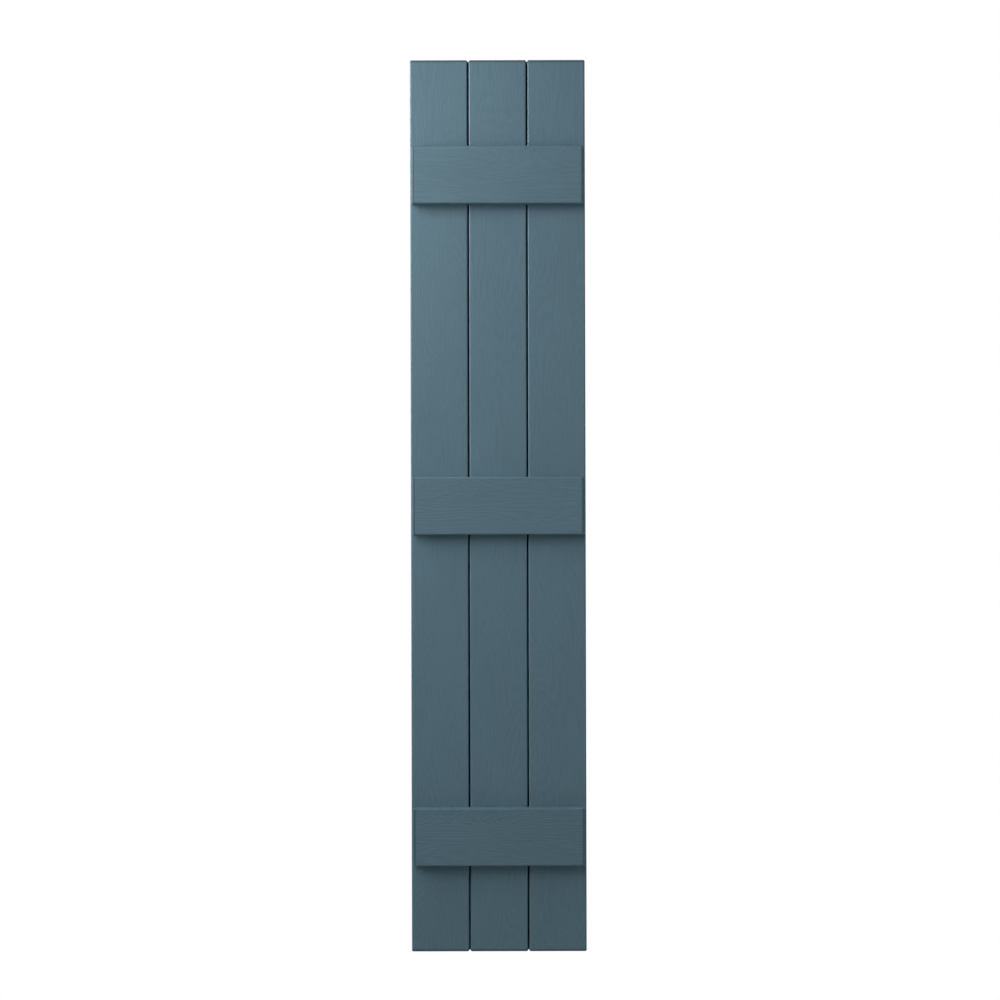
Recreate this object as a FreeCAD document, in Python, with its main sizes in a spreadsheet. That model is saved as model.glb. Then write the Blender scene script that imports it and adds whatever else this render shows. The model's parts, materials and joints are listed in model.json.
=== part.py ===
import FreeCAD, Part
import Sketcher
import math
import os

# Board and batten shutter: hollow boards side by side, with hollow battens across their front.
# X runs across the shutter, +Z is up and the front faces -Y. The back lies on y = 0, against the wall.
# Every board and batten is a hollow profile cut to length and closed at both ends by a plug-in cap.

# Driving sizes in millimetres.
SIZES = {
    "panel_height": 1397.0,
    "board_width": 90.0,
    "board_depth": 15.9,
    "board_gap": 2.0,
    "batten_width": 90.0,
    "batten_depth": 15.9,
    "batten_inset": 2.9,
    "batten_end_space": 137.0,
    "wall": 2.0,
    "edge_round": 2.4,
    "cap_thickness": 4.0,
    "plug_length": 12.0,
    "plug_wall": 1.5,
    "plug_slack": 0.2,
    "lip_thickness": 2.2,
    "lip_cover": 8.0,
    "lip_slack": 0.4,
    "access_hole": 11.0,
    "screw_hole": 4.5,
}

# Boards side by side in the panel.
BOARDS = 3

# Chambers of full depth side by side in each profile, with a web between neighbours.
CHAMBERS = 3

# Sizes and places worked out from the driving ones.
HALF_BOARD = "sizes.board_width / 2"
BOARD_PITCH = "(sizes.board_width + sizes.board_gap)"
BOARD_FRONT = "-sizes.board_depth"
BOARD_LENGTH = "(sizes.panel_height - 2 * sizes.cap_thickness)"
PANEL_WIDTH = f"({BOARDS} * sizes.board_width + {BOARDS - 1} * sizes.board_gap)"
HALF_BATTEN = "sizes.batten_width / 2"
BATTEN_FRONT = "-sizes.batten_depth"
BATTEN_LENGTH = f"({PANEL_WIDTH} - 2 * (sizes.batten_inset + sizes.cap_thickness))"
BATTEN_RISE = "(sizes.panel_height / 2 - sizes.batten_end_space - sizes.batten_width / 2)"
LIP_ROOT = "(sizes.board_width / 2 - sizes.edge_round)"
LIP_REACH = "(sizes.board_width / 2 + sizes.board_gap + sizes.lip_cover)"
REBATE_WIDTH = "(sizes.lip_cover + sizes.lip_slack)"
REBATE_DEPTH = "(sizes.lip_thickness + sizes.lip_slack)"
BACK = "0"

# How a sketch names its origin and the points of a line or circle.
ORIGIN = -1
POINT_START = 1
POINT_END = 2
POINT_CENTRE = 3

# Places closer than this, in millimetres, are the same place.
CLOSE = 0.001

doc = FreeCAD.newDocument("board_and_batten_shutter")


def make_sheet():
    sheet = doc.addObject("Spreadsheet::Sheet", "sizes")
    for row, (alias, value) in enumerate(SIZES.items(), start=1):
        sheet.set(f"A{row}", alias)
        sheet.set(f"B{row}", str(value))
        sheet.setAlias(f"B{row}", alias)
    doc.recompute()


def new_body(label):
    body = doc.addObject("PartDesign::Body", label)
    body.Label = label
    return body


def sketch_on(body, role, name):
    plane = next(item for item in body.Origin.OriginFeatures if item.Role == role)
    sketch = body.newObject("Sketcher::SketchObject", f"{body.Name}_{name}")
    sketch.AttachmentSupport = [(plane, "")]
    sketch.MapMode = "FlatFace"
    return sketch


def pin_point(sketch, geometry, point, place):
    # Ties a point to its two distances from the sketch origin.
    for kind, distance in zip(("DistanceX", "DistanceY"), place):
        index = sketch.addConstraint(Sketcher.Constraint(kind, ORIGIN, POINT_START, geometry, point, 1.0))
        sketch.setExpression(f"Constraints[{index}]", distance)


def draw_polygon(sketch, corners):
    # The lines start as a rough ring, and the pinned corners then pull them into shape.
    first = sketch.GeometryCount
    count = len(corners)
    turns = [2 * math.pi * step / count for step in range(count)]
    ring = [FreeCAD.Vector(math.cos(turn), math.sin(turn), 0) for turn in turns]
    for step in range(count):
        sketch.addGeometry(Part.LineSegment(ring[step], ring[(step + 1) % count]))
    for step, place in enumerate(corners):
        line = first + step
        next_line = first + (step + 1) % count
        sketch.addConstraint(Sketcher.Constraint("Coincident", line, POINT_END, next_line, POINT_START))
        pin_point(sketch, line, POINT_START, place)


def draw_circle(sketch, place, diameter):
    circle = sketch.addGeometry(Part.Circle(FreeCAD.Vector(0, 0, 0), FreeCAD.Vector(0, 0, 1), 1.0))
    index = sketch.addConstraint(Sketcher.Constraint("Diameter", circle, 2.0))
    sketch.setExpression(f"Constraints[{index}]", diameter)
    pin_point(sketch, circle, POINT_CENTRE, place)


def add_pad(body, sketch, length, backwards=False, both_ways=False):
    pad = body.newObject("PartDesign::Pad", f"{sketch.Name}_pad")
    pad.Profile = sketch
    pad.setExpression("Length", length)
    pad.Reversed = backwards
    pad.Midplane = both_ways
    doc.recompute()
    return pad


def add_pocket(body, sketch, length=None, backwards=False, both_ways=False):
    before = body.Shape.Volume
    pocket = body.newObject("PartDesign::Pocket", f"{sketch.Name}_pocket")
    pocket.Profile = sketch
    if length is None:
        pocket.Type = "ThroughAll"
    else:
        pocket.setExpression("Length", length)
    pocket.Reversed = backwards
    pocket.Midplane = both_ways
    doc.recompute()
    if body.Shape.Volume >= before:
        raise RuntimeError(f"{pocket.Name} cuts nothing")


def round_edges(body, base, wanted):
    solid = base.Shape.BoundBox
    numbered = enumerate(base.Shape.Edges, start=1)
    fillet = body.newObject("PartDesign::Fillet", f"{body.Name}_rounds")
    fillet.Base = (base, [f"Edge{number}" for number, edge in numbered if wanted(edge.BoundBox, solid)])
    fillet.setExpression("Radius", "sizes.edge_round")
    doc.recompute()


def rectangle(across, depth):
    # Corners of a box in a section, from its limits across the piece and through its depth.
    return [(across[0], depth[0]), (across[1], depth[0]), (across[1], depth[1]), (across[0], depth[1])]


def inset(limits, margin):
    return (f"{limits[0]} + {margin}", f"{limits[1]} - {margin}")


def middle(limits):
    return f"(({limits[0]}) + ({limits[1]})) / 2"


def divide(limits):
    # Equal chambers between two limits, with one web between neighbours.
    width = f"(({limits[1]}) - ({limits[0]}) - {CHAMBERS - 1} * sizes.wall) / {CHAMBERS}"
    starts = [f"({limits[0]}) + {step} * ({width} + sizes.wall)" for step in range(CHAMBERS)]
    return [(start, f"{start} + {width}") for start in starts]


class Profile:
    """The hollow section of a board or batten, drawn across the axis that it runs along."""

    def __init__(self, run_axis, half_width, front, chambers, screw_chambers=()):
        self.run_axis = run_axis
        self.plane = {"Z": "XY_Plane", "X": "YZ_Plane"}[run_axis]
        self.half_width = half_width
        self.front = front
        self.chambers = chambers
        self.screw_columns = [middle(chambers[number][0]) for number in screw_chambers]

    def draw(self, sketch, across, depth):
        corners = rectangle(across, depth)
        if self.plane == "YZ_Plane":
            # On this plane the depth is the sketch's first direction.
            corners = [(through, along) for along, through in corners]
        draw_polygon(sketch, corners)

    def bar(self, body, length, **way):
        # The plain bar or plate that fills this section's outline.
        sketch = sketch_on(body, self.plane, "outline")
        self.draw(sketch, (f"-{self.half_width}", self.half_width), (self.front, BACK))
        return add_pad(body, sketch, length, **way)

    def ends(self, box):
        # Where a box starts and ends along the run.
        return getattr(box, f"{self.run_axis}Min"), getattr(box, f"{self.run_axis}Max")

    def is_long_front_edge(self, edge, solid):
        start, end = self.ends(edge)
        return abs(edge.YMax - solid.YMin) < CLOSE < end - start

    def cut_chambers(self, body):
        sketch = sketch_on(body, self.plane, "chambers")
        for across, depth in self.chambers:
            self.draw(sketch, across, depth)
        add_pocket(body, sketch, both_ways=True)

    def add_plugs(self, body, **way):
        # A thin-walled plug in each chamber holds a cap in the end of its profile.
        sketch = sketch_on(body, self.plane, "plugs")
        for across, depth in self.chambers:
            for margin in ("sizes.plug_slack", "(sizes.plug_slack + sizes.plug_wall)"):
                self.draw(sketch, inset(across, margin), inset(depth, margin))
        add_pad(body, sketch, "sizes.plug_length", **way)


def centre_profile():
    across = inset((f"-{HALF_BOARD}", HALF_BOARD), "sizes.wall")
    depth = inset((BOARD_FRONT, BACK), "sizes.wall")
    chambers = [(limits, depth) for limits in divide(across)]
    return Profile("Z", HALF_BOARD, BOARD_FRONT, chambers, screw_chambers=(0, CHAMBERS - 1))


def outer_profile():
    # A shallow chamber lies over the rebate, and the chambers of full depth follow.
    rebate_end = f"-{HALF_BOARD} + {REBATE_WIDTH}"
    shallow = (f"-{HALF_BOARD} + sizes.wall", rebate_end)
    shallow_depth = inset((BOARD_FRONT, f"-{REBATE_DEPTH}"), "sizes.wall")
    across = (f"{rebate_end} + sizes.wall", f"{HALF_BOARD} - sizes.wall")
    depth = inset((BOARD_FRONT, BACK), "sizes.wall")
    chambers = [(shallow, shallow_depth)] + [(limits, depth) for limits in divide(across)]
    return Profile("Z", HALF_BOARD, BOARD_FRONT, chambers, screw_chambers=(1 + CHAMBERS // 2,))


def batten_profile():
    across = inset((f"-{HALF_BATTEN}", HALF_BATTEN), "sizes.wall")
    depth = inset((BATTEN_FRONT, BACK), "sizes.wall")
    return Profile("X", HALF_BATTEN, BATTEN_FRONT, [(limits, depth) for limits in divide(across)])


CENTRE = centre_profile()
OUTER = outer_profile()
BATTEN = batten_profile()


def add_laps(body, profile, length, **way):
    # The back edges beside a gap lap: a lip on the centre piece runs into a rebate in each neighbour.
    if profile is CENTRE:
        sketch = sketch_on(body, CENTRE.plane, "lips")
        depth = ("-sizes.lip_thickness", BACK)
        CENTRE.draw(sketch, (LIP_ROOT, LIP_REACH), depth)
        CENTRE.draw(sketch, (f"-{LIP_REACH}", f"-{LIP_ROOT}"), depth)
        add_pad(body, sketch, length, **way)
    else:
        sketch = sketch_on(body, OUTER.plane, "rebate")
        across = (f"-{HALF_BOARD}", f"-{HALF_BOARD} + {REBATE_WIDTH}")
        OUTER.draw(sketch, across, (f"-{REBATE_DEPTH}", BACK))
        add_pocket(body, sketch, both_ways=True)


def drill(body, profile, name, diameter, length=None):
    # One hole for each screw, in line with the middle of each batten.
    sketch = sketch_on(body, "XZ_Plane", name)
    for column in profile.screw_columns:
        for rise in (f"-{BATTEN_RISE}", "0", BATTEN_RISE):
            draw_circle(sketch, (column, rise), diameter)
    add_pocket(body, sketch, length, backwards=True)


def make_board(label, profile):
    body = new_body(label)
    bar = profile.bar(body, BOARD_LENGTH, both_ways=True)
    round_edges(body, bar, profile.is_long_front_edge)
    add_laps(body, profile, BOARD_LENGTH, both_ways=True)
    profile.cut_chambers(body)
    # The back wall has room for a screw's head and driver, and the front wall only for its shank.
    drill(body, profile, "access_holes", "sizes.access_hole", "sizes.wall")
    drill(body, profile, "screw_holes", "sizes.screw_hole")
    return body


def make_batten(label):
    # The screws cut their own thread in the back wall.
    body = new_body(label)
    bar = BATTEN.bar(body, BATTEN_LENGTH, both_ways=True)
    round_edges(body, bar, BATTEN.is_long_front_edge)
    BATTEN.cut_chambers(body)
    return body


def make_cap(label, profile, outward):
    # A plate shaped like the section and its laps, rounded like the long edges, with plugs on its inner side.
    body = new_body(label)
    inverted = outward < 0
    plate = profile.bar(body, "sizes.cap_thickness", backwards=inverted)
    face = profile.ends(plate.Shape.BoundBox)[0 if inverted else 1]

    def is_rounded(edge, solid):
        on_face = all(abs(place - face) < CLOSE for place in profile.ends(edge))
        on_back = edge.YMin > solid.YMax - CLOSE
        return (on_face and not on_back) or profile.is_long_front_edge(edge, solid)

    round_edges(body, plate, is_rounded)
    if profile is not BATTEN:
        add_laps(body, profile, "sizes.cap_thickness", backwards=inverted)
    profile.add_plugs(body, backwards=not inverted)
    return body


def put(body, place, turned=False):
    if turned:
        # Half a turn about the depth axis swaps left with right and top with bottom.
        body.Placement.Rotation = FreeCAD.Rotation(FreeCAD.Vector(0, 1, 0), 180)
    for axis, distance in zip("xyz", place):
        body.setExpression(f"Placement.Base.{axis}", distance)
    return body


def make_panel():
    pieces = []
    for name, profile, side in (("left", OUTER, -1), ("centre", CENTRE, 0), ("right", OUTER, 1)):
        across = f"{side} * {BOARD_PITCH}"
        turned = side < 0
        board = make_board(f"board_{name}", profile)
        pieces.append(put(board, (across, "0", "0"), turned))
        for end, up in (("top", 1), ("bottom", -1)):
            cap = make_cap(f"board_{name}_cap_{end}", profile, outward=-up if turned else up)
            pieces.append(put(cap, (across, "0", f"{up} * {BOARD_LENGTH} / 2"), turned))
    return pieces


def make_battens():
    pieces = []
    for name, step in (("top", 1), ("middle", 0), ("bottom", -1)):
        rise = f"{step} * {BATTEN_RISE}"
        batten = make_batten(f"batten_{name}")
        pieces.append(put(batten, ("0", BOARD_FRONT, rise)))
        for end, side in (("left", -1), ("right", 1)):
            cap = make_cap(f"batten_{name}_cap_{end}", BATTEN, outward=side)
            pieces.append(put(cap, (f"{side} * {BATTEN_LENGTH} / 2", BOARD_FRONT, rise)))
    return pieces


def check(pieces):
    for item in doc.Objects:
        if "Invalid" in item.State or "Error" in item.State:
            raise RuntimeError(f"{item.Name} failed")
    for piece in pieces:
        if piece.Shape.isNull() or not piece.Shape.isValid():
            raise RuntimeError(f"{piece.Label} has no valid shape")


def write(pieces):
    os.makedirs("parts", exist_ok=True)
    for piece in pieces:
        piece.Shape.exportStep(f"parts/{piece.Label}.step")


make_sheet()
pieces = make_panel() + make_battens()
doc.recompute()
check(pieces)
write(pieces)
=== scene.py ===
import json
import math

import bmesh
import bpy
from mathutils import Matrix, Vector


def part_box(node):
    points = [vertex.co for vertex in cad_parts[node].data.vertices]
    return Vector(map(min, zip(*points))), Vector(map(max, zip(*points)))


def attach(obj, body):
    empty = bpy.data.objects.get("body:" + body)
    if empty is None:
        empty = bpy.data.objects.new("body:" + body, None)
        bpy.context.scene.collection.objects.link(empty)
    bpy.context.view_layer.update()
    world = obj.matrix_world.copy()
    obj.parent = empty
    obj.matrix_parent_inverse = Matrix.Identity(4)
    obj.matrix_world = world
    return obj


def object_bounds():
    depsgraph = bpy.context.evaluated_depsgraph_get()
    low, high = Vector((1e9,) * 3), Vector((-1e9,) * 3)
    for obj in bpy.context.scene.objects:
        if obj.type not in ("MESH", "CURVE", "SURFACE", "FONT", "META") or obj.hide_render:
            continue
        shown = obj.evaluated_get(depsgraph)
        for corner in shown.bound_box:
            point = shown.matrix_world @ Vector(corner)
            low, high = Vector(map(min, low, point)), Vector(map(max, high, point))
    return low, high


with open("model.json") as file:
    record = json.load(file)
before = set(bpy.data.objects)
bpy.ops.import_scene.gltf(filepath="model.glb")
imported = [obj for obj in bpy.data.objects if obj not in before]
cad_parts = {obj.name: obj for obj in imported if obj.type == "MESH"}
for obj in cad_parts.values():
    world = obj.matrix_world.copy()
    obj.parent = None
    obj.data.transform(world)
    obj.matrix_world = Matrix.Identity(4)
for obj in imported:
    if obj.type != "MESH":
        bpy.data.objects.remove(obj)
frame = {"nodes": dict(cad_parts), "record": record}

# A slate-blue board and batten shutter, seen straight from the front in soft light from the upper left.
# Lengths are in metres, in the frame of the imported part: +X right, +Z up, the front faces -Y.

CAD_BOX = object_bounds()
NODES = frame["nodes"]
COLOURS = {item["slot"]: item["base_color"][:3] for item in frame["record"]["materials"]}
SLOTS = {item["node"]: item["material_slot"] for item in frame["record"]["subparts"]}
WHITE = (1.0, 1.0, 1.0, 1.0)

# The photograph: its size in pixels, the panel's middle in it, the lean of the panel and the scale.
IMAGE_PIXELS = 1000
PANEL_MIDDLE_PIXELS = (498.3, 505.7)
PANEL_LEAN_DEGREES = 0.14
METRES_PER_PIXEL = 0.0015666

# The camera stands this far in front of the boards. Its sensor is measured in millimetres.
CAMERA_DISTANCE = 3.0
SENSOR_WIDTH = 36.0

# The floor lies as far below the shutter as under one beside a window, and whitens from middle to rim.
FLOOR_DROP = 0.9
FLOOR_RADIUS = 2.2
FLOOR_SIDES = 96
FLOOR_COLOUR = (0.72, 0.72, 0.72, 1.0)
FLOOR_MIDDLE_WHITE = 0.55
FLOOR_FADE = (0.3 * FLOOR_RADIUS, 0.98 * FLOOR_RADIUS)

# How far backwards gloss looks where it starts to mirror the white background, and where it fully does.
MIRROR_FADE = (0.0, 0.8)

# Lamps: place, what they face, width, height and power in watts.
LAMPS = {
    "front_left": ((-0.9, -2.0, 1.6), (0.0, 0.0, 0.0), 0.8, 1.8, 24.0),
    "side_left": ((-1.2, -0.5, 0.55), (0.0, 0.0, 0.2), 0.5, 1.3, 15.8),
    "near_top_left": ((-0.7, -0.3, 0.8), (0.0, 0.0, 0.4), 0.3, 0.4, 2.7),
    "low_right": ((1.2, -1.8, -0.5), (0.0, 0.0, 0.0), 0.8, 1.4, 5.3),
    "side_right": ((1.4, -0.7, 0.3), (0.0, 0.0, 0.0), 0.5, 1.3, 2.7),
    "back_left": ((-1.5, 1.7, 1.3), (0.0, 0.0, 0.0), 1.0, 1.6, 26.0),
    "back_right": ((1.75, 1.4, 0.4), (0.0, 0.0, 0.0), 1.0, 1.6, 32.0),
}

# Noises: features in a metre across a piece and along it, levels of detail and strength of the finer ones.
NOISES = {
    "fibres": (520.0, 32.0, 4.0, 0.62),
    "growth": (17.0, 2.6, 1.6, 0.45),
    "cloud": (14.0, 5.0, 2.0, 0.5),
    "die_lines": (120.0, 0.4, 5.0, 0.7),
    "rubs": (60.0, 18.0, 4.0, 0.7),
    "mould_skin": (1500.0, 1500.0, 2.0, 0.6),
    "mould_flow": (45.0, 45.0, 3.0, 0.55),
    "plating": (900.0, 900.0, 4.0, 0.6),
}

# The part of its range that most of a noise lies in.
NOISE_CORE = (0.3, 0.7)

# Growth rings are a wave over a smooth noise: its full angle in radians, how fibres fray it, its strength.
RING_ANGLE = 270.0
RING_FRAY = 0.03
RING_SHARE = 0.17

# How much of a tint is soft clouds instead of grain or lines.
CLOUD_SHARE = 0.4

# Relief: how deep the grain is, the die's lines as a share of that, and how deep the caps' skin is.
BOARD_GRAIN_DEPTH = 0.00016
BATTEN_GRAIN_DEPTH = 0.0004
DIE_LINE_SHARE = 0.4
MOULD_SKIN_DEPTH = 0.00002

# Finishes: shades of the colour, and roughness, at the low and at the high end of their noise.
PRESSED_SHADES = (0.83, 1.17)
PLAIN_SHADES = (0.82, 1.12)
MOULDED_SHADES = (0.94, 1.06)
ZINC_SHADES = (0.8, 1.2)
PRESSED_ROUGHNESS = (0.62, 0.48)
PLAIN_ROUGHNESS = (0.34, 0.4)
MOULDED_ROUGHNESS = (0.36, 0.46)
ZINC_ROUGHNESS = (0.28, 0.44)

# Shades of the colour: painted shade in the gaps, rubbed edges; how strongly profiles and caps reflect.
GAP_PAINTED_SHADE = 0.22
RUBBED_SHADE = 1.16
PROFILE_SPECULAR = 0.35
CAP_SPECULAR = 0.3

# How much a surface looks back: from -1 on the flat front, over the rounded edges, to 1 on the back.
FRONT_TILT = (-0.96, -0.995)
EDGE_START_TILT = (-0.97, -0.85)
EDGE_END_TILT = (-0.45, -0.15)
BACK_TILT = (0.5, 0.9)

# Painted shade in the gaps: how far below the boards' front it starts and is full, and how far aside it
# fades out.
GAP_DEPTHS = (0.0005, 0.0025)
GAP_REACH = (0.005, 0.01)

# The screws that tie the boards to the battens: their heads sit on the inside of the boards' front walls.
WALL = 0.002
HEAD_RADIUS = 0.004
HEAD_HEIGHT = 0.0026
HEAD_FLAT_SHARE = 0.55
HEAD_RIM_SHARE = 0.45
SHANK_RADIUS = 0.002
TIP_RADIUS = 0.0002
TIP_LENGTH = 0.004
SCREW_LENGTH = 0.0127
RECESS_REACH = 0.0021
RECESS_HALF_WIDTH = 0.0005
RECESS_DEPTH = 0.0016
RECESS_TAPER = 0.4
SCREW_SIDES = 32
DOME_STEPS = 6

# Points this close to a board's back lie on it, and points of one hole's rim lie within this reach.
FLUSH = 0.0002
RIM_REACH = 0.016

# The mix node's sockets by number: the share, the two values and the result, for numbers and for colours.
MIX_SOCKETS = {"FLOAT": (0, 2, 3, 0), "RGBA": (0, 6, 7, 2)}


def put_in(tree, kind, sockets=None, **settings):
    """Adds a shader node; each socket is set to a value or linked to another node's output."""
    made = tree.nodes.new(kind)
    for name, value in settings.items():
        setattr(made, name, value)
    for name, value in (sockets or {}).items():
        if isinstance(value, bpy.types.NodeSocket):
            tree.links.new(value, made.inputs[name])
        else:
            made.inputs[name].default_value = value
    return made


def maths(tree, operation, *values):
    return put_in(tree, "ShaderNodeMath", dict(enumerate(values)), operation=operation).outputs["Value"]


def ranged(tree, value, between, to=(0.0, 1.0)):
    """A number that goes from one end of a range to the other while a value goes between two limits."""
    limits = {"From Min": between[0], "From Max": between[1], "To Min": to[0], "To Max": to[1]}
    return put_in(tree, "ShaderNodeMapRange", {"Value": value, **limits}).outputs["Result"]


def mix(tree, kind, *values):
    """A share of the way from one value to another, for numbers or for colours."""
    *places, result = MIX_SOCKETS[kind]
    return put_in(tree, "ShaderNodeMix", dict(zip(places, values)), data_type=kind).outputs[result]


def mixed(tree, share, first, second):
    """A number between two, each a plain number or a node's output."""
    return mix(tree, "FLOAT", share, first, second)


def blended(tree, share, first, second):
    """A colour between two, each a plain colour or a node's output."""
    return mix(tree, "RGBA", share, first, second)


def noise(tree, place, name, along="Z"):
    """One of the named noises, drawn out along an axis."""
    across, run, detail, roughness = NOISES[name]
    scale = tuple(run if axis == along else across for axis in "XYZ")
    mapped = put_in(tree, "ShaderNodeMapping", {"Vector": place, "Scale": scale})
    sockets = {"Vector": mapped.outputs["Vector"], "Scale": 1.0, "Detail": detail, "Roughness": roughness}
    return put_in(tree, "ShaderNodeTexNoise", sockets).outputs["Fac"]


def new_material(name):
    material = bpy.data.materials.new(name)
    material.use_nodes = True
    material.node_tree.nodes.clear()
    return material, material.node_tree


def surface(tree, sockets):
    shader = put_in(tree, "ShaderNodeBsdfPrincipled", sockets)
    put_in(tree, "ShaderNodeOutputMaterial", {"Surface": shader.outputs["BSDF"]})


def shade(colour, factor):
    return (*(channel * factor for channel in colour), 1.0)


def tinted(tree, share, colour, shades):
    """A colour between two of its shades."""
    return blended(tree, share, shade(colour, shades[0]), shade(colour, shades[1]))


def object_place(tree):
    return put_in(tree, "ShaderNodeTexCoord").outputs["Object"]


def backward_part(tree, direction):
    """How much a direction points backwards."""
    return put_in(tree, "ShaderNodeSeparateXYZ", {"Vector": direction}).outputs["Y"]


def facing(tree):
    """From -1 on what looks straight forward to 1 on what looks straight back."""
    return backward_part(tree, put_in(tree, "ShaderNodeNewGeometry").outputs["True Normal"])


def rubbed_edges(tree, place, tilt, along):
    """Patches on the rounds along the front edges, where handling has rubbed them paler."""
    begun = ranged(tree, tilt, EDGE_START_TILT)
    unfinished = ranged(tree, tilt, EDGE_END_TILT, (1.0, 0.0))
    patches = ranged(tree, noise(tree, place, "rubs", along), NOISE_CORE)
    return maths(tree, "MULTIPLY", maths(tree, "MULTIPLY", begun, unfinished), patches)


def gap_painted_shade(tree, place, tilt):
    """Painted shade in the gaps between boards, on their sides and the lips below, but not on the back."""
    rightward, backward, _ = put_in(tree, "ShaderNodeSeparateXYZ", {"Vector": place}).outputs
    aside = maths(tree, "SUBTRACT", maths(tree, "ABSOLUTE", rightward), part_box("board_right")[0].x)
    near = ranged(tree, maths(tree, "ABSOLUTE", aside), GAP_REACH, (1.0, 0.0))
    sunken = ranged(tree, maths(tree, "SUBTRACT", backward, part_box("board_centre")[0].y), GAP_DEPTHS)
    open_to_front = ranged(tree, tilt, BACK_TILT, (1.0, 0.0))
    return maths(tree, "MULTIPLY", maths(tree, "MULTIPLY", near, sunken), open_to_front)


def grained_vinyl(slot, along, depth):
    """Satin vinyl with wood grain of some depth pressed into its front, along the axis that is named."""
    material, tree = new_material(slot)
    colour = COLOURS[slot]

    # A shift of its own through the noises gives each piece its own grain.
    unmoved = object_place(tree)
    shift = put_in(tree, "ShaderNodeObjectInfo").outputs["Random"]
    place = put_in(tree, "ShaderNodeVectorMath", {0: unmoved, 1: shift}, operation="ADD").outputs["Vector"]

    # Growth rings are level lines of a long smooth noise, broken up by fine fibres.
    fibres = noise(tree, place, "fibres", along)
    frayed = maths(tree, "MULTIPLY_ADD", fibres, RING_FRAY, noise(tree, place, "growth", along))
    rings = maths(tree, "SINE", maths(tree, "MULTIPLY", frayed, RING_ANGLE))
    grain = maths(tree, "MULTIPLY_ADD", rings, RING_SHARE, fibres)
    cloud = noise(tree, place, "cloud", along)

    # Only the face that looks forward is pressed; the rounds, sides and back keep faint lines from the die.
    tilt = facing(tree)
    front = ranged(tree, tilt, FRONT_TILT)
    lines = noise(tree, place, "die_lines", along)
    relief = mixed(tree, front, maths(tree, "MULTIPLY", lines, DIE_LINE_SHARE), grain)
    bump = put_in(tree, "ShaderNodeBump", {"Strength": 1.0, "Distance": depth, "Height": relief})
    polish = mixed(tree, front, ranged(tree, lines, NOISE_CORE, PLAIN_ROUGHNESS),
                   ranged(tree, grain, NOISE_CORE, PRESSED_ROUGHNESS))

    # The colour: a clean surface, then its rubbed edges, then painted shade in the gaps.
    pressed = tinted(tree, mixed(tree, CLOUD_SHARE, grain, cloud), colour, PRESSED_SHADES)
    plain = tinted(tree, mixed(tree, CLOUD_SHARE, lines, cloud), colour, PLAIN_SHADES)
    clean = blended(tree, front, plain, pressed)
    worn = blended(tree, rubbed_edges(tree, place, tilt, along), clean, shade(colour, RUBBED_SHADE))
    # Painted shade: the colour darkens in the gaps between boards and on the lips below them.
    shaded_in_gaps = blended(tree, gap_painted_shade(tree, unmoved, tilt), worn, shade(colour, GAP_PAINTED_SHADE))
    surface(tree, {"Base Color": shaded_in_gaps, "Roughness": polish,
                   "Normal": bump.outputs["Normal"], "Specular IOR Level": PROFILE_SPECULAR})
    return material


def moulded_vinyl(slot):
    """Smooth moulded vinyl of the end caps, with a faint even skin and rubbed edges."""
    material, tree = new_material(slot)
    colour = COLOURS[slot]
    place = object_place(tree)
    flow = noise(tree, place, "mould_flow")
    skin = {"Strength": 1.0, "Distance": MOULD_SKIN_DEPTH, "Height": noise(tree, place, "mould_skin")}
    bump = put_in(tree, "ShaderNodeBump", skin)
    rubs = rubbed_edges(tree, place, facing(tree), "Z")
    worn = blended(tree, rubs, tinted(tree, flow, colour, MOULDED_SHADES), shade(colour, RUBBED_SHADE))
    surface(tree, {"Base Color": worn, "Roughness": ranged(tree, flow, NOISE_CORE, MOULDED_ROUGHNESS),
                   "Normal": bump.outputs["Normal"], "Specular IOR Level": CAP_SPECULAR})
    return material


def zinc_steel(slot):
    """Zinc-plated screw steel with faint cloudy plating."""
    material, tree = new_material(slot)
    plating = noise(tree, object_place(tree), "plating")
    surface(tree, {"Base Color": tinted(tree, plating, COLOURS[slot], ZINC_SHADES),
                   "Roughness": ranged(tree, plating, NOISE_CORE, ZINC_ROUGHNESS), "Metallic": 1.0})
    return material


def dress_nodes():
    """Gives each board, batten and cap its finish."""
    finishes = {
        "board_vinyl": grained_vinyl("board_vinyl", "Z", BOARD_GRAIN_DEPTH),
        "batten_vinyl": grained_vinyl("batten_vinyl", "X", BATTEN_GRAIN_DEPTH),
        "cap_vinyl": moulded_vinyl("cap_vinyl"),
    }
    for name, node in NODES.items():
        node.data.materials.clear()
        node.data.materials.append(finishes[SLOTS[name]])


def add_object(name, data):
    made = bpy.data.objects.new(name, data)
    bpy.context.scene.collection.objects.link(made)
    return made


def closed_mesh(name, sections):
    """A closed mesh through rings of points, all with as many points, with its two ends filled."""
    mesh = bmesh.new()
    rings = [[mesh.verts.new(point) for point in section] for section in sections]
    for ring, following in zip(rings, rings[1:]):
        for step, corner in enumerate(ring):
            mesh.faces.new((ring[step - 1], corner, following[step], following[step - 1]))
    mesh.faces.new(rings[0])
    mesh.faces.new(rings[-1])
    bmesh.ops.recalc_face_normals(mesh, faces=mesh.faces)
    data = bpy.data.meshes.new(name)
    mesh.to_mesh(data)
    mesh.free()
    return data


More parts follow.
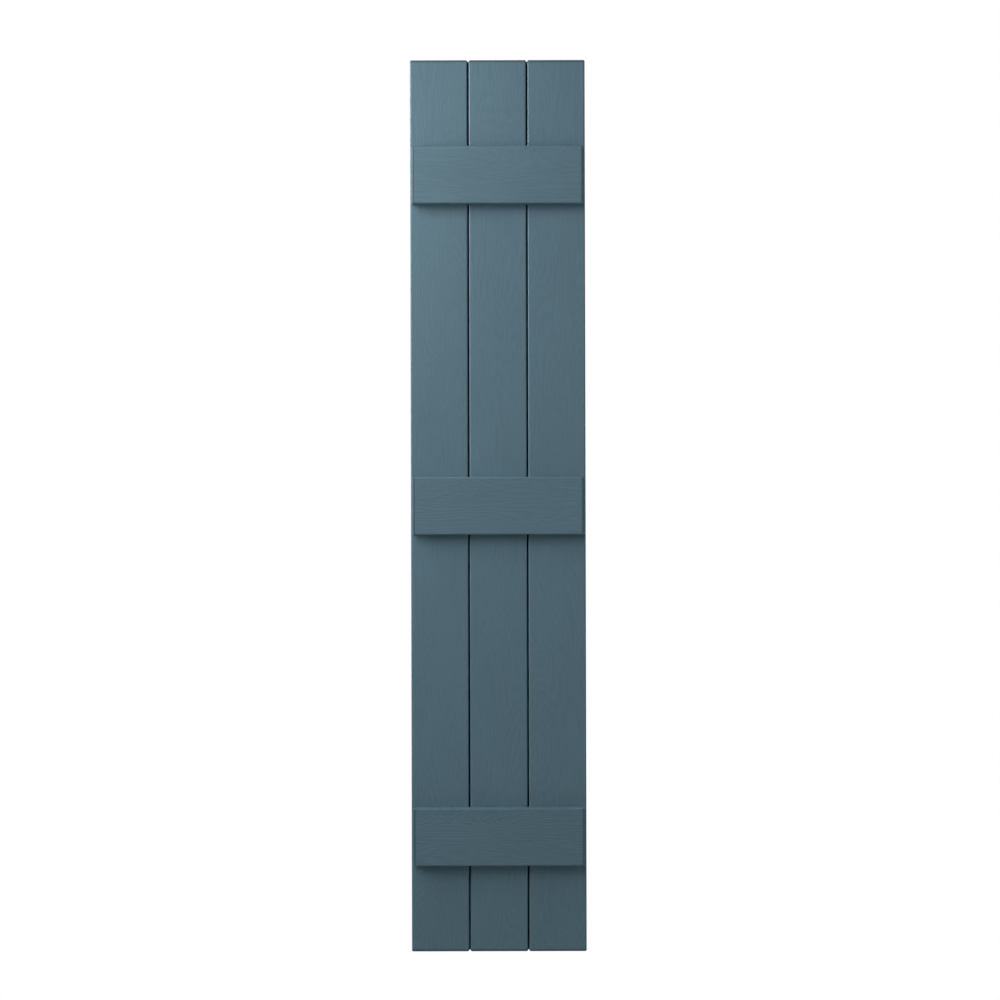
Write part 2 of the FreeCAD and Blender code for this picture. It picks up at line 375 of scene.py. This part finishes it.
def screw_blank():
    """A pan-head screw along Y, seated at zero, with its head towards +Y and its shank towards -Y."""
    outline = [(TIP_RADIUS, -SCREW_LENGTH), (SHANK_RADIUS, TIP_LENGTH - SCREW_LENGTH),
               (SHANK_RADIUS, 0.0), (HEAD_RADIUS, 0.0)]
    for step in range(DOME_STEPS + 1):
        rise = math.pi / 2 * step / DOME_STEPS
        radius = HEAD_RADIUS * (HEAD_FLAT_SHARE + (1 - HEAD_FLAT_SHARE) * math.cos(rise))
        outline.append((radius, HEAD_HEIGHT * (HEAD_RIM_SHARE + (1 - HEAD_RIM_SHARE) * math.sin(rise))))
    turns = [2 * math.pi * step / SCREW_SIDES for step in range(SCREW_SIDES)]
    sections = [[(radius * math.cos(turn), depth, radius * math.sin(turn)) for turn in turns]
                for radius, depth in outline]
    return closed_mesh("screw_blank", sections)


def cross_cutter():
    """The cross recess in a screw's head, narrower towards its bottom."""
    arm = [(RECESS_REACH, -RECESS_HALF_WIDTH), (RECESS_REACH, RECESS_HALF_WIDTH),
           (RECESS_HALF_WIDTH, RECESS_HALF_WIDTH)]
    plan = []
    for cosine, sine in ((1, 0), (0, 1), (-1, 0), (0, -1)):
        plan.extend((x * cosine - z * sine, x * sine + z * cosine) for x, z in arm)
    bottom = (HEAD_HEIGHT - RECESS_DEPTH, 1 - RECESS_TAPER)
    above = (HEAD_HEIGHT + RECESS_DEPTH, 1 + RECESS_TAPER)
    sections = [[(x * size, depth, z * size) for x, z in plan] for depth, size in (bottom, above)]
    return closed_mesh("cross_cutter", sections)


def screw_mesh():
    """The screw with the cross recess cut into its head."""
    blank = add_object("screw_blank", screw_blank())
    cutter = add_object("cross_cutter", cross_cutter())
    cut = blank.modifiers.new("recess", "BOOLEAN")
    cut.operation = "DIFFERENCE"
    cut.solver = "EXACT"
    cut.object = cutter
    data = bpy.data.meshes.new_from_object(blank.evaluated_get(bpy.context.evaluated_depsgraph_get()))
    data.name = "screw"
    for helper in (blank, cutter):
        bpy.data.objects.remove(helper)
    return data


def hole_centres(board):
    """Middles of the round holes in a board's back, from the points of their rims."""
    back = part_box(board)[1]
    groups = []
    for vertex in NODES[board].data.vertices:
        point = vertex.co
        if abs(point.y - back.y) > FLUSH or abs(point.z) > back.z - WALL:
            continue
        near = next((group for group in groups if (group[0] - point).length < RIM_REACH), None)
        if near is None:
            groups.append([point])
        else:
            near.append(point)
    return [sum(group, Vector()) / len(group) for group in groups]


def add_screws():
    data = screw_mesh()
    data.materials.append(zinc_steel("screw_steel"))
    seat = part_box("board_centre")[0].y + WALL
    for board in ("board_left", "board_centre", "board_right"):
        for number, centre in enumerate(hole_centres(board), start=1):
            screw = add_object(f"screw_{board}_{number}", data)
            screw.location = (centre.x, seat, centre.z)
            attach(screw, "root")


def add_world():
    """White to the camera, through glass and, behind the shutter, in gloss. It sheds no other light."""
    world = bpy.data.worlds.new("studio")
    bpy.context.scene.world = world
    world.use_nodes = True
    tree = world.node_tree
    tree.nodes.clear()
    path = put_in(tree, "ShaderNodeLightPath").outputs
    backwards = backward_part(tree, put_in(tree, "ShaderNodeTexCoord").outputs["Generated"])
    mirrored = maths(tree, "MULTIPLY", path["Is Glossy Ray"], ranged(tree, backwards, MIRROR_FADE))
    seen = maths(tree, "MAXIMUM", path["Is Camera Ray"], path["Is Transmission Ray"])
    strength = maths(tree, "MAXIMUM", seen, mirrored)
    background = put_in(tree, "ShaderNodeBackground", {"Color": WHITE, "Strength": strength})
    put_in(tree, "ShaderNodeOutputWorld", {"Surface": background.outputs["Background"]})


def floor_material():
    """Pale to the light that falls on it, and whiter towards its rim to the camera and in gloss."""
    material, tree = new_material("floor")
    place = object_place(tree)
    reach = put_in(tree, "ShaderNodeVectorMath", {0: place}, operation="LENGTH").outputs["Value"]
    fade = ranged(tree, reach, FLOOR_FADE, (FLOOR_MIDDLE_WHITE, 1.0))
    path = put_in(tree, "ShaderNodeLightPath").outputs
    mirrored = maths(tree, "MAXIMUM", path["Is Glossy Ray"], path["Is Transmission Ray"])
    seen = maths(tree, "MAXIMUM", path["Is Camera Ray"], mirrored)
    share = maths(tree, "MULTIPLY", fade, seen)
    white = put_in(tree, "ShaderNodeEmission", {"Color": WHITE, "Strength": 1.0})
    pale = put_in(tree, "ShaderNodeBsdfDiffuse", {"Color": FLOOR_COLOUR})
    shaders = {0: share, 1: pale.outputs["BSDF"], 2: white.outputs["Emission"]}
    both = put_in(tree, "ShaderNodeMixShader", shaders)
    put_in(tree, "ShaderNodeOutputMaterial", {"Surface": both.outputs["Shader"]})
    return material


def add_floor():
    """A round pale floor that fades into the white background towards its rim."""
    mesh = bmesh.new()
    bmesh.ops.create_circle(mesh, cap_ends=True, radius=FLOOR_RADIUS, segments=FLOOR_SIDES)
    data = bpy.data.meshes.new("floor")
    mesh.to_mesh(data)
    mesh.free()
    data.materials.append(floor_material())
    floor = add_object("floor", data)
    floor.location = (0.0, 0.0, CAD_BOX[0].z - FLOOR_DROP)


def add_lamps():
    """Soft lamps; those behind the shutter leave no glint on it."""
    for name, (place, target, width, height, power) in LAMPS.items():
        light = bpy.data.lights.new(name, "AREA")
        light.shape = "RECTANGLE"
        light.size = width
        light.size_y = height
        light.energy = power
        lamp = add_object(name, light)
        lamp.location = place
        lamp.rotation_euler = (Vector(target) - Vector(place)).to_track_quat("-Z", "Y").to_euler()
        lamp.visible_camera = False
        lamp.visible_glossy = lamp.location.y < 0.0


def add_camera():
    """A camera straight in front of the boards, shifted and leaned until the panel lies as in the photo."""
    data = bpy.data.cameras.new("camera")
    data.sensor_width = SENSOR_WIDTH
    data.lens = SENSOR_WIDTH * CAMERA_DISTANCE / (IMAGE_PIXELS * METRES_PER_PIXEL)
    camera = add_object("camera", data)
    board_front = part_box("board_centre")[0].y
    right = (IMAGE_PIXELS / 2 - PANEL_MIDDLE_PIXELS[0]) * METRES_PER_PIXEL
    up = (PANEL_MIDDLE_PIXELS[1] - IMAGE_PIXELS / 2) * METRES_PER_PIXEL
    camera.location = (right, board_front - CAMERA_DISTANCE, up)
    camera.rotation_euler = (math.pi / 2, math.radians(PANEL_LEAN_DEGREES), 0.0)
    bpy.context.scene.camera = camera


bpy.context.scene.view_settings.view_transform = "Standard"
dress_nodes()
add_screws()
add_world()
add_floor()
add_lamps()
add_camera()
